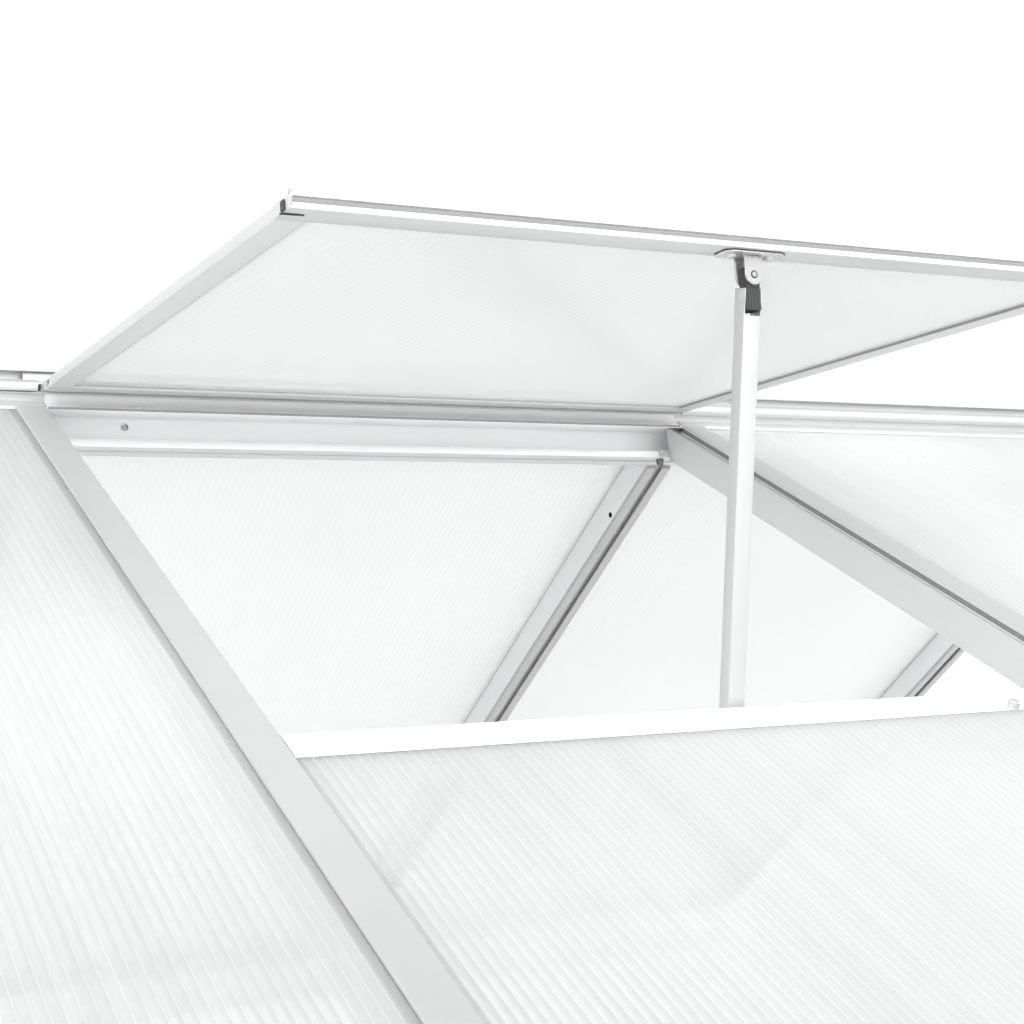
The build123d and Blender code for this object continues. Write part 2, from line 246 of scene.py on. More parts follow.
def add_hex(bm, origin, axis, across, height, chamfer=0.5, spin=0.0, mat=0):
    """Hexagon head or nut with a chamfered top, standing along axis."""
    axis = Vector(axis).normalized()
    side = axis.orthogonal().normalized()
    other = axis.cross(side)
    o, R = Vector(origin), across / 2 / math.cos(math.pi / 6)
    rings = []
    for r, h in ((0, 0), (R, 0), (R, height - chamfer), (R - chamfer * 1.2, height), (0, height)):
        if r == 0:
            rings.append([bm.verts.new((o + axis * h) * MM)])
        else:
            rings.append([bm.verts.new((o + axis * h + (side * math.cos(spin + math.pi / 3 * k) + other * math.sin(spin + math.pi / 3 * k)) * r) * MM) for k in range(6)])
    for ra, rb in zip(rings, rings[1:]):
        for k in range(6):
            j = (k + 1) % 6
            if len(ra) == 1:
                f = bm.faces.new((ra[0], rb[k], rb[j]))
            elif len(rb) == 1:
                f = bm.faces.new((ra[k], rb[0], ra[j]))
            else:
                f = bm.faces.new((ra[k], rb[k], rb[j], ra[j]))
            f.material_index = mat


def bolt(bm, origin, axis, across=10.0, stub=3.0, mat=0, washer=True):
    """Nut on a washer with the end of its bolt standing through."""
    axis = Vector(axis).normalized()
    o = Vector(origin)
    if washer:
        add_lathe(bm, [(0, 0), (6.2, 0), (6.2, 0.7), (5.8, 1.0), (0, 1.0)], o, axis, 24, mat)
        o = o + axis * 1.0
    add_hex(bm, o, axis, across, 4.6, 0.6, 0.3, mat)
    if stub:
        add_lathe(bm, [(0, 4.0), (2.9, 4.0), (2.9, 4.6 + stub - 0.5), (2.3, 4.6 + stub), (0, 4.6 + stub)], o, axis, 16, mat)


# ------------------------------------------------------------------ materials
def new_mat(name):
    m = bpy.data.materials.new(name)
    m.use_nodes = True
    nt = m.node_tree
    return m, nt, nt.nodes["Principled BSDF"]


def node(nt, kind, **kw):
    n = nt.nodes.new(kind)
    for k, v in kw.items():
        if k in ("operation", "blend_type", "data_type", "noise_dimensions", "feature", "distance", "clamp", "wave_type", "bands_direction", "vector_type"):
            setattr(n, k, v)
        else:
            n.inputs[k].default_value = v
    return n


def alu_material(name, rot, grey=0.90, rough=0.44, metal=0.55):
    """Satin extruded aluminium; rot turns local x along the bar for the die lines."""
    m, nt, p = new_mat(name)
    L = nt.links.new
    p.inputs["Metallic"].default_value = metal
    tc = nt.nodes.new("ShaderNodeTexCoord")
    mp = nt.nodes.new("ShaderNodeMapping")
    mp.inputs["Rotation"].default_value = rot
    L(tc.outputs["Object"], mp.inputs["Vector"])
    st = node(nt, "ShaderNodeVectorMath", operation="MULTIPLY")
    st.inputs[1].default_value = (2.0, 900.0, 900.0)
    L(mp.outputs["Vector"], st.inputs[0])
    lines = node(nt, "ShaderNodeTexNoise", Scale=1.0, Detail=3.0, Roughness=0.6)
    L(st.outputs["Vector"], lines.inputs["Vector"])
    cloud = node(nt, "ShaderNodeTexNoise", Scale=9.0, Detail=4.0, Roughness=0.55)
    L(tc.outputs["Object"], cloud.inputs["Vector"])
    cr = nt.nodes.new("ShaderNodeMapRange")
    cr.inputs["From Min"].default_value, cr.inputs["From Max"].default_value = 0.3, 0.7
    cr.inputs["To Min"].default_value, cr.inputs["To Max"].default_value = 0.965, 1.0
    L(cloud.outputs["Fac"], cr.inputs["Value"])
    col = node(nt, "ShaderNodeMix", data_type="RGBA", blend_type="MULTIPLY")
    col.inputs["Factor"].default_value = 1.0
    col.inputs["A"].default_value = (grey * 0.997, grey, min(1.0, grey * 1.004), 1)
    L(cr.outputs["Result"], col.inputs["B"])
    L(col.outputs["Result"], p.inputs["Base Color"])
    rr = nt.nodes.new("ShaderNodeMapRange")
    rr.inputs["To Min"].default_value, rr.inputs["To Max"].default_value = rough - 0.05, rough + 0.07
    L(lines.outputs["Fac"], rr.inputs["Value"])
    L(rr.outputs["Result"], p.inputs["Roughness"])
    bp = node(nt, "ShaderNodeBump", Strength=0.12, Distance=0.0004)
    L(lines.outputs["Fac"], bp.inputs["Height"])
    L(bp.outputs["Normal"], p.inputs["Normal"])
    return m


def steel_material(name, lo, hi, metal=1.0):
    m, nt, p = new_mat(name)
    L = nt.links.new
    p.inputs["Metallic"].default_value = metal
    tc = nt.nodes.new("ShaderNodeTexCoord")
    n1 = node(nt, "ShaderNodeTexNoise", Scale=160.0, Detail=2.0)
    L(tc.outputs["Object"], n1.inputs["Vector"])
    cr = nt.nodes.new("ShaderNodeMapRange")
    cr.inputs["To Min"].default_value, cr.inputs["To Max"].default_value = lo, hi
    L(n1.outputs["Fac"], cr.inputs["Value"])
    L(cr.outputs["Result"], p.inputs["Base Color"])
    rr = nt.nodes.new("ShaderNodeMapRange")
    rr.inputs["To Min"].default_value, rr.inputs["To Max"].default_value = 0.18, 0.34
    L(n1.outputs["Fac"], rr.inputs["Value"])
    L(rr.outputs["Result"], p.inputs["Roughness"])
    return m


def black_material(name):
    m, nt, p = new_mat(name)
    L = nt.links.new
    tc = nt.nodes.new("ShaderNodeTexCoord")
    n1 = node(nt, "ShaderNodeTexNoise", Scale=900.0, Detail=2.0)
    L(tc.outputs["Object"], n1.inputs["Vector"])
    cr = nt.nodes.new("ShaderNodeMapRange")
    cr.inputs["To Min"].default_value, cr.inputs["To Max"].default_value = 0.018, 0.034
    L(n1.outputs["Fac"], cr.inputs["Value"])
    L(cr.outputs["Result"], p.inputs["Base Color"])
    p.inputs["Roughness"].default_value = 0.42
    bp = node(nt, "ShaderNodeBump", Strength=0.15, Distance=0.0003)
    L(n1.outputs["Fac"], bp.inputs["Height"])
    L(bp.outputs["Normal"], p.inputs["Normal"])
    return m


def seal_material(name, grey):
    m, nt, p = new_mat(name)
    L = nt.links.new
    tc = nt.nodes.new("ShaderNodeTexCoord")
    n1 = node(nt, "ShaderNodeTexNoise", Scale=700.0, Detail=2.0)
    L(tc.outputs["Object"], n1.inputs["Vector"])
    cr = nt.nodes.new("ShaderNodeMapRange")
    cr.inputs["To Min"].default_value, cr.inputs["To Max"].default_value = grey * 0.95, grey * 1.05
    L(n1.outputs["Fac"], cr.inputs["Value"])
    L(cr.outputs["Result"], p.inputs["Base Color"])
    p.inputs["Roughness"].default_value = 0.7
    return m


def sheet_material(name, alpha, through, lo, hi, streak=0.2):
    """Clear moulded sheet: part of the light is scattered back, part scattered through, and a little passes straight."""
    m, nt, p = new_mat(name)
    L = nt.links.new
    tc = nt.nodes.new("ShaderNodeTexCoord")
    # broad cloudiness, and streaks of extrusion along the ribs; where a sheet gets a wide range and strong streaks
    # they also paint reflection bands
    n1 = node(nt, "ShaderNodeTexNoise", Scale=4.0, Detail=0.0)
    L(tc.outputs["Object"], n1.inputs["Vector"])
    st = node(nt, "ShaderNodeVectorMath", operation="MULTIPLY")
    st.inputs[1].default_value = (150.0, 2.2, 2.2)
    L(tc.outputs["Object"], st.inputs[0])
    n2 = node(nt, "ShaderNodeTexNoise", Scale=1.0, Detail=0.0)
    L(st.outputs["Vector"], n2.inputs["Vector"])
    sm = node(nt, "ShaderNodeMath", operation="MULTIPLY_ADD")
    sm.inputs[1].default_value = streak
    L(n2.outputs["Fac"], sm.inputs[0])
    L(n1.outputs["Fac"], sm.inputs[2])
    cr = nt.nodes.new("ShaderNodeMapRange")
    cr.inputs["From Min"].default_value, cr.inputs["From Max"].default_value = 0.25 + 0.25 * streak, 0.75 + 0.75 * streak
    cr.inputs["To Min"].default_value, cr.inputs["To Max"].default_value = lo, hi
    L(sm.outputs["Value"], cr.inputs["Value"])
    L(cr.outputs["Result"], p.inputs["Base Color"])
    p.inputs["Roughness"].default_value = 0.1
    p.inputs["IOR"].default_value = 1.58
    p.inputs["Alpha"].default_value = alpha
    tr = nt.nodes.new("ShaderNodeBsdfTranslucent")
    tr.inputs["Color"].default_value = (0.975, 0.98, 0.985, 1)
    mix = nt.nodes.new("ShaderNodeMixShader")
    mix.inputs["Fac"].default_value = through
    L(p.outputs["BSDF"], mix.inputs[1])
    L(tr.outputs["BSDF"], mix.inputs[2])
    L(mix.outputs["Shader"], nt.nodes["Material Output"].inputs["Surface"])
    return m


# One satin aluminium in lit and shaded copies: each grey below is painted light or painted shade for where its faces
# sit, from 0.98 on the ridge web and sill (painted light) down to 0.42 on the free rail's end fin (painted shade).
RX = (0, 0, 0)
ALU_X = alu_material("alu_along_ridge", RX, 0.73)
ALU_R = alu_material("alu_ridge", RX, 0.70)
ALU_IN = alu_material("alu_painted_light_inner", RX, 0.98, 0.5, 0.1)
ALU_W = alu_material("alu_painted_shade_grey", RX, 0.64)
ALU_V = alu_material("alu_flange_lips_painted_light", RX, 0.83)
FRONT_ROT, BACK_ROT = (math.radians(-PITCH), 0, math.radians(90)), (math.radians(PITCH), 0, math.radians(90))
ALU_D = alu_material("alu_painted_shade_dark", RX, 0.60)
ALU_E = alu_material("alu_end_fin_painted_shade", RX, 0.42)
ALU_F = alu_material("alu_front_slope", FRONT_ROT, 0.69)
ALU_B = alu_material("alu_back_slope", BACK_ROT, 0.81)
ALU_U = alu_material("alu_back_under_painted_shade", BACK_ROT, 0.47)
ALU_L = alu_material("alu_leaf", (0, 0, math.radians(90)), 0.71)
ALU_S = alu_material("alu_stay", (0, math.radians(90), 0), 0.575)
STEEL = steel_material("zinc_steel", 0.56, 0.62, 0.4)
STEEL_E = steel_material("zinc_steel_painted_shade", 0.35, 0.40, 0.4)
BOLT = steel_material("bolt_steel", 0.12, 0.18, 0.7)
BLACK = black_material("black_plastic_and_hole_shade")
GROOVE_SHADE = seal_material("groove_painted_shade", 0.295)
SLOT_SHADE = seal_material("slot_painted_shade", 0.22)
PALE_SEAL = seal_material("pale_seal", 0.86)
SHADE_SEAL = seal_material("painted_shade_seal", 0.30)
# one clear sheet in lit and shaded copies: the front sheets, the right bay and the vent's outer skin take darker
# greys, painted shade, against the plain sheets and the vent's inner skin
SKIN = sheet_material("sheet_skin", 0.38, 0.22, 0.90, 0.94, 0.15)
RIB = sheet_material("sheet_rib", 0.20, 0.26, 0.89, 0.93, 0.15)
SKIN_V = sheet_material("sheet_skin_vent", 0.47, 0.22, 0.90, 0.94, 0.15)
SKIN_O = sheet_material("sheet_skin_vent_outer_painted_shade", 0.40, 0.22, 0.60, 0.72, 0.3)
RIB_V = sheet_material("sheet_rib_vent", 0.38, 0.22, 0.85, 0.90, 0.15)
SKIN_F = sheet_material("sheet_skin_front_painted_shade", 0.38, 0.22, 0.60, 0.75, 0.5)
RIB_F = sheet_material("sheet_rib_front_painted_shade", 0.44, 0.22, 0.67, 0.82, 0.5)
SKIN_R = sheet_material("sheet_skin_right", 0.38, 0.22, 0.70, 0.85, 0.5)
RIB_R = sheet_material("sheet_rib_right", 0.44, 0.22, 0.77, 0.93, 0.5)
STRIP = sheet_material("clear_strip", 0.05, 0.04, 0.80, 0.86)

# ------------------------------------------------------------------ ridge bar
TAN = S / C


def slope_yz(t, dep):
    y, z = front(t, dep)
    return (-y, z - APEX)


def ridge_half():
    cy, cz, ro, ri = -HINGE_Y, HINGE_Z, 5.4, 3.3
    w = 1.3
    pts = [(13, 15.5), (13, 9.7), (11.4, 9.7), (11.4, 13.2), (w, 13.2), (w, -w * TAN - 1.2 / C), slope_yz(33.6, 1.2)]
    arc = lambda r, a0, a1, n: [(cy + r * math.cos(math.radians(a0 + (a1 - a0) * i / n)), cz + r * math.sin(math.radians(a0 + (a1 - a0) * i / n))) for i in range(n + 1)]
    pts += arc(ro, 227.2, 26, 20)
    pts += arc(ri, 26, 302, 26)
    pts += arc(ro, 302, 252.8, 6)
    pts += [slope_yz(36.0, 1.2), slope_yz(50.5, 1.2), slope_yz(50.5, 3.6), slope_yz(48.5, 3.6), slope_yz(48.5, 3.0),
            (w, -w * TAN - 3.0 / C), (w, -22.8), (25, -22.8), (25, -24.6), (w, -24.6), (w, -46), (20, -46), (20, -52.5), (4, -52.5), (4, -48.5)]
    return pts


half = ridge_half()
ridge_pts = [(y, APEX + z) for y, z in half] + [(-y, APEX + z) for y, z in reversed(half)]
bm = bmesh.new()
add_run(bm, run_x, rounded(ridge_pts, 0.4), -RIDGE_HALF, RIDGE_HALF)
# the ridge's faces take lit and shaded copies of the aluminium by where they sit: painted light and painted shade
for f in bm.faces:
    if len(f.verts) != 4:
        continue
    c = f.calc_center_median() / MM
    y, z = abs(c.y), c.z - APEX
    if z < -46.3:
        # lower flange: lips painted lighter, underside and groove painted shade
        f.material_index = 4 if y > 18 else 2
    elif z < -21:
        # web and shelf painted light, with the shelf edge painted shade
        f.material_index = 2 if y > 24 and z > -26 else 1
    # front faces of the top flange painted darker: painted shade
    elif y > 12.5 and z > 9:
        f.material_index = 3
ridge = to_object("ridge_bar_skin", bm, [ALU_R, ALU_IN, ALU_W, ALU_D, ALU_V], "roof", "ridge_bar")


# strips that close the hinge channels where no leaf hangs in them, in the darker grey that is painted shade
def channel_strip(k, x0, x1, low):
    arc = lambda r, a0, a1, n: [(k * (35.0 + r * math.cos(math.radians(a0 + (a1 - a0) * i / n))), APEX + HINGE_Z + r * math.sin(math.radians(a0 + (a1 - a0) * i / n))) for i in range(n + 1)]
    bm = bmesh.new()
    add_run(bm, run_x, arc(6.3, 122, low, 18) + arc(5.45, low, 122, 18), x0, x1)
    return bm


for k, x0, x1, low, name in ((-1, -RIDGE_HALF, -303.0, -36, "front_left"), (-1, 303.0, RIDGE_HALF, -64, "front_right"), (1, -RIDGE_HALF, RIDGE_HALF, -64, "back")):
    to_object("channel_strip_" + name, channel_strip(k, x0, x1, low), ALU_D, "roof", None)

# bright cover strips on the wing beside the vent
bm = bmesh.new()
for x0, x1 in ((-RIDGE_HALF, -299.0), (299.0, RIDGE_HALF)):
    cover = [(39.6, 0.5), (41.5, -0.5), (47.5, 0.2), (50.4, 0.7), (50.4, 1.2), (39.6, 1.2)]
    add_run(bm, run_x, [front(t, d) for t, d in cover], x0, x1)
to_object("ridge_wing_covers", bm, ALU_X, "roof", None)

# joint plates in the recess beside the leaf, in the darker grey that is painted shade
bm = bmesh.new()
for k in (-1, 1):
    plate = [(-9.6, APEX + 9.4), (-8.2, APEX + 9.4), (-8.2, APEX - 5.6), (-9.6, APEX - 6.4)]
    add_slab(bm, run_x, rounded(plate, 0.3), k * 307.5, k * 282.0, 0.2)
to_object("ridge_joint_plates", bm, ALU_D, "roof", None)

# seal in the corner between hinge channel and wing, under the head of the leaf; its small front lip is painted dark,
# painted shade under the leaf
bm = bmesh.new()
corner = [(36.15, -5.2), (37.2, -4.9), (38.2, -2.2), (40.5, -0.6), (44.0, 0.1), (50.3, 0.3), (50.3, 1.2), (36.15, 1.2)]
add_run(bm, run_x, [front(t, d) for t, d in corner], -296, 296)
add_run(bm, run_x, rounded([front(50.5, 0.6), front(51.2, 0.6), front(51.2, 2.6), front(50.5, 2.6)], 0.2), -296, 296, mat=1)
to_object("vent_head_seal", bm, [PALE_SEAL, SHADE_SEAL], "roof", None)


# ------------------------------------------------------------------ rafters
def rafter(name, xc, run, mat):
    k = -1 if run is run_front else 1
    bm = bmesh.new()
    body = [(-13.4, -8), (13.4, -8), (14, -9.5), (14, -20), (13.8, -25), (13.4, -30), (13.1, -34), (13.0, -38), (3.5, -38), (3.5, -36.2), (6, -36.2), (6, -34), (-6, -34), (-6, -36.2), (-3.5, -36.2), (-3.5, -38), (-13.0, -38), (-13.1, -34), (-13.4, -30), (-13.8, -25), (-14, -20), (-14, -9.5)]
    add_run(bm, run, rounded([(xc + p, q) for p, q in body], 0.6), 10, SLOPE)
    for co, no in (((0, k * 20.0 * MM, 0), (0, -k, 0)), ((0, 0, (APEX - 25.6) * MM), (0, 0, 1))):
        geom = bm.verts[:] + bm.edges[:] + bm.faces[:]
        cut = bmesh.ops.bisect_plane(bm, geom=geom, plane_co=co, plane_no=no, clear_outer=True)
        edges = [e for e in cut["geom_cut"] if isinstance(e, bmesh.types.BMEdge)]
        bmesh.ops.triangle_fill(bm, use_beauty=True, use_dissolve=False, edges=edges)
    cap = [(-11.8, -0.4), (-11.2, 0), (11.2, 0), (11.8, -0.4), (11.8, -2.8), (9.9, -2.8), (9.6, -3.6), (4, -3.6), (4, -8), (-4, -8), (-4, -3.6), (-9.6, -3.6), (-9.9, -2.8), (-11.8, -2.8)]
    add_run(bm, run, rounded([(xc + p, q) for p, q in cap], 0.5), 52, SLOPE)
    # faces along the underside take the second grey: on the back rafters a darker copy, painted shade
    for f in bm.faces:
        f.normal_update()
        c = f.calc_center_median() / MM
        dep = (APEX - c.z) * C - abs(c.y) * S
        if dep > 33.5:
            f.material_index = 1
    return to_object(name + "_skin", bm, mat, "roof", name)


rafters = {}
for i, xc in enumerate(RAFTER_X):
    rafters["f%d" % i] = rafter("rafter_front_%d" % (i + 1), xc, run_front, [ALU_F, ALU_F])
    rafters["b%d" % i] = rafter("rafter_back_%d" % (i + 1), xc, run_back, [ALU_B, ALU_U])


# dark grey strips in the open slots beside the vent: painted shade in the empty slots
bm = bmesh.new()
for k in (-1, 1):
    strip = rounded([(k * (310 - 4.2), -3.75), (k * (310 - 9.8), -3.75), (k * (310 - 10.3), -2.95), (k * (310 - 11.2), -3.1), (k * (310 - 11.2), -7.4), (k * (310 - 10.4), -7.85), (k * (310 - 4.2), -7.85)], 0.2)
    add_run(bm, run_front, strip, 54, SILL_TOP - 1)
    lip = rounded([(k * (310 - 11.3), -6.2), (k * (310 - 12.6), -6.2), (k * (310 - 12.6), -7.9), (k * (310 - 11.3), -7.9)], 0.3)
    add_run(bm, run_front, lip, 54, SILL_TOP - 1, mat=1)
to_object("rafter_slot_painted_shade", bm, [SLOT_SHADE, ALU_F], "roof", None)


def drill(ob, origin, axis, r, length):
    """Round hole cut through a piece."""
    bm = bmesh.new()
    add_lathe(bm, [(0, -length / 2), (r, -length / 2), (r, length / 2), (0, length / 2)], origin, axis, 28)
    bmesh.ops.recalc_face_normals(bm, faces=bm.faces)
    me = bpy.data.meshes.new("drill")
    bm.to_mesh(me)
    bm.free()
    tool = bpy.data.objects.new("drill", me)
    bpy.context.scene.collection.objects.link(tool)
    mod = ob.modifiers.new("hole", "BOOLEAN")
    mod.object, mod.operation, mod.solver = tool, "DIFFERENCE", "EXACT"
    bpy.context.view_layer.update()
    out = bpy.data.meshes.new_from_object(ob.evaluated_get(bpy.context.evaluated_depsgraph_get()))
    ob.modifiers.clear()
    ob.data = out
    out.set_sharp_from_angle(angle=math.radians(35))
    bpy.data.objects.remove(tool)
    # the cut wall is painted black: painted shade inside the hole
    out.materials.append(BLACK)
    o, ax = Vector(origin) * MM, Vector(axis).normalized()
    for poly in out.polygons:
        v = poly.center - o
        across = (v - ax * v.dot(ax)).length
        if across < r * MM * 1.02 and abs(v.dot(ax)) < length / 2 * MM and abs(poly.normal.dot(ax)) < 0.3:
            poly.material_index = len(out.materials) - 1


drill(ridge, (-224, 0, APEX - 32), (0, 1, 0), 3.25, 20)
for i in (1, 2):
    y, z = back(128, 28.8)
    drill(rafters["b%d" % i], (RAFTER_X[i] - 14, y, z), (1, 0, 0), 3.0, 16)

# ------------------------------------------------------------------ eaves bars
for side, run, name in ((front, -1, "front"), (back, 1, "back")):
    k = run
    seat = lambda y: APEX - y * TAN - 38 / C
    lip = APEX - 0.5 - 954 * TAN
    outer = [(k * 905, 0), (k * 957, 0), (k * 957, lip), (k * 954, lip), (k * 954, seat(954)), (k * 905, seat(905))]
    inner = [(k * 907.5, 2.5), (k * 954.5, 2.5), (k * 954.5, seat(954.5) - 3), (k * 907.5, seat(907.5) - 3)]
    bm = bmesh.new()
    add_run(bm, run_x, rounded(outer, 0.8), -RIDGE_HALF, RIDGE_HALF, [rounded(inner, 1.5)])
    to_object("eaves_bar_%s_skin" % name, bm, ALU_X, "roof", "eaves_bar_" + name)
    # plugs in the open ends
    bm = bmesh.new()
    plug = rounded([(k * 908, 3), (k * 954, 3), (k * 954, seat(954) - 3.6), (k * 908, seat(908) - 3.6)], 1.5)
    for x in (-1, 1):
        add_run(bm, run_x, plug, x * (RIDGE_HALF - 14), x * (RIDGE_HALF - 1.2))
    to_object("eaves_plugs_" + name, bm, BLACK, "roof", None)


# ------------------------------------------------------------------ twin-wall sheets
def twin_sheet(name, body, run, x0, x1, a0, a1, q_in, q_out, pitch=6.1, rib=0.45, sag=0.05, sub=4, mats=None):
    """Two skins that dip a little between the ribs which join them along the sheet."""
    n = max(1, int(round((x1 - x0 - rib) / pitch)))
    pitch = (x1 - x0 - rib) / n
    xs, dip = [x0], [0.0]
    for i in range(n):
        lo = x0 + i * pitch + rib
        for j in range(sub + 1):
            u = j / sub
            xs.append(lo + (pitch - rib) * u)
            dip.append(4 * u * (1 - u) * sag)
    xs.append(x1)
    dip.append(0.0)
    bm = bmesh.new()
    ring = [(x, q_out - d) for x, d in zip(xs, dip)] + [(x, q_in + d) for x, d in zip(reversed(xs), reversed(dip))]
    m = len(xs)
    steps = max(1, int(round((a1 - a0) / 60.0)))
    rows = [[bm.verts.new(Vector(run(p, q, a0 + (a1 - a0) * k / steps)) * MM) for p, q in ring] for k in range(steps + 1)]
    for lo, hi in zip(rows, rows[1:]):
        for i in range(2 * m):
            j = (i + 1) % (2 * m)
            f = bm.faces.new((lo[i], lo[j], hi[j], hi[i]))
            e = i if i < m else 2 * m - 2 - i
            if mats and 0 <= e < m - 1 and e % (sub + 1) == 0:
                f.material_index = 1
            elif mats and len(mats) > 2 and i < m - 1:
                f.material_index = 2
    for i in range(m - 1):
        for vs in (rows[0], rows[-1]):
            bm.faces.new((vs[i], vs[i + 1], vs[2 * m - 2 - i], vs[2 * m - 1 - i]))
    for i in range(1, n):
        c = x0 + i * pitch
        box = [(c, q_in + 0.12), (c + rib, q_in + 0.12), (c + rib, q_out - 0.12), (c, q_out - 0.12)]
        b0, b1 = a0 + 0.4, a1 - 0.4
        rings = [[bm.verts.new(Vector(run(p, q, b0 + (b1 - b0) * k / steps)) * MM) for p, q in box] for k in range(steps + 1)]
        new = [bm.faces.new(rings[0]), bm.faces.new(rings[-1])]
        for lo, hi in zip(rings, rings[1:]):
            new += [bm.faces.new((lo[e], lo[(e + 1) % 4], hi[(e + 1) % 4], hi[e])) for e in range(4)]
        for f in new:
            f.material_index = 1
    return to_object(name + "_ribbed", bm, mats or [SKIN, RIB], body, name, 25)


for run, side in ((run_front, "front"), (run_back, "back")):
    for i, bay in enumerate(("left", "middle", "right")):
        top = SILL_TOP + 3 if (side == "front" and i == 1) else GLZ_TOP
        # front sheets take the darker painted-shade copies, the right bay its own
        look = dict(rib=0.8, sag=0.1, mats=[SKIN_R, RIB_R] if i == 2 else [SKIN_F, RIB_F]) if side == "front" else {}
        twin_sheet("roof_sheet_%s_%s" % (side, bay), "roof", run, RAFTER_X[i] + 5, RAFTER_X[i + 1] - 5, top, GLZ_END, -GLZ_IN, -GLZ_OUT, **look)
twin_sheet("vent_sheet", "vent", run_leaf, -VENT_HALF + SIDE_W - GROOVE + 0.5, VENT_HALF - SIDE_W + GROOVE - 0.5,
           TOPR_S1 - GROOVE + 0.5, FREE_S0 + GROOVE - 0.5, SHEET_LO, SHEET_HI, mats=[SKIN_V, RIB_V, SKIN_O])

# ------------------------------------------------------------------ vent sill
sill = [(SILL_TOP, SILL_FACE), (SILL_FLANGE_END, SILL_FACE), (SILL_FLANGE_END, GLZ_OUT - 0.1), (SILL_TOP + 2, GLZ_OUT - 0.1),
        (SILL_TOP + 2, GLZ_IN + 0.1), (SILL_BOX_END, GLZ_IN + 0.1), (SILL_BOX_END, SILL_DEEP), (SILL_TOP, SILL_DEEP)]
hollow = [(SILL_TOP + 1.8, GLZ_IN + 1.9), (SILL_BOX_END - 1.8, GLZ_IN + 1.9), (SILL_BOX_END - 1.8, SILL_DEEP - 1.8), (SILL_TOP + 1.8, SILL_DEEP - 1.8)]
bm = bmesh.new()
add_run(bm, run_x, rounded([front(t, d) for t, d in sill], 0.5), -SILL_HALF, SILL_HALF, [rounded([front(t, d) for t, d in hollow], 0.5)])
# the sill takes the near-white aluminium: painted light
to_object("vent_sill_skin", bm, ALU_IN, "roof", "vent_sill")

# ------------------------------------------------------------------ vent leaf
bead = [(3.0 * math.cos(math.radians(a)), 3.0 * math.sin(math.radians(a))) for a in range(20, 341, 10)]
top_rail = bead + [(TOPR_S0, -1), (TOPR_S0, VENT_BOT), (TOPR_S1, VENT_BOT), (TOPR_S1, SHEET_LO - 0.1), (TOPR_S1 - GROOVE, SHEET_LO - 0.1),
                   (TOPR_S1 - GROOVE, SHEET_HI + 0.1), (TOPR_S1, SHEET_HI + 0.1), (TOPR_S1, VENT_TOP), (TOPR_S0, VENT_TOP), (TOPR_S0, 1)]
bm = bmesh.new()
add_run(bm, run_x, rounded([leaf(s, h) for s, h in top_rail], 0.4), -VENT_HALF, VENT_HALF)
# the top rail takes the darker grey: painted shade under the head of the leaf
to_object("vent_top_rail_skin", bm, ALU_W, "vent", "vent_top_rail")

FRONT_S, FRONT_LO, FRONT_HI = 557.5, -1.2, 2.2
free_rail = [(FREE_S0, VENT_BOT), (FREE_S1, VENT_BOT), (FREE_S1, FRONT_LO), (FRONT_S, FRONT_LO), (FRONT_S, FRONT_HI), (FREE_S1, FRONT_HI),
             (FREE_S1, VENT_TOP), (FREE_S0, VENT_TOP), (FREE_S0, SHEET_HI + 0.1), (FREE_S0 + GROOVE, SHEET_HI + 0.1), (FREE_S0 + GROOVE, SHEET_LO - 0.1), (FREE_S0, SHEET_LO - 0.1)]
bm = bmesh.new()
add_run(bm, run_x, rounded([leaf(s, h) for s, h in free_rail], 0.3), -VENT_HALF, VENT_HALF)
mid = sum(v.co.z for v in bm.verts) / len(bm.verts)
# downward faces of the lower half take the darker grey: painted shade on the rail's underside
for f in bm.faces:
    f.normal_update()
    if abs(f.normal.z) > 0.6 and f.calc_center_median().z < mid:
        f.material_index = 1
to_object("vent_free_rail_skin", bm, [ALU_X, ALU_W], "vent", "vent_free_rail")

# clear strip that laps over the sill; its root filling the front groove is painted dark grey, painted shade in the
# groove
bm = bmesh.new()
add_run(bm, run_x, rounded([leaf(561.0, 0.7), leaf(577.0, 0.8), leaf(578.0, 0.5), leaf(578.0, 1.0), leaf(577.0, 1.6), leaf(561.0, 1.9)], 0.2), -299.5, 299.5)
add_run(bm, run_x, rounded([leaf(FRONT_S + 0.1, FRONT_LO + 0.05), leaf(561.6, FRONT_LO + 0.05), leaf(562.0, -0.5), leaf(561.6, 0.4), leaf(561.6, 2.15), leaf(FRONT_S + 0.1, 2.15)], 0.2), -299.9, 299.9, mat=1)
to_object("vent_lip_strip_clear", bm, [STRIP, GROOVE_SHADE], "vent", "vent_lip_strip")

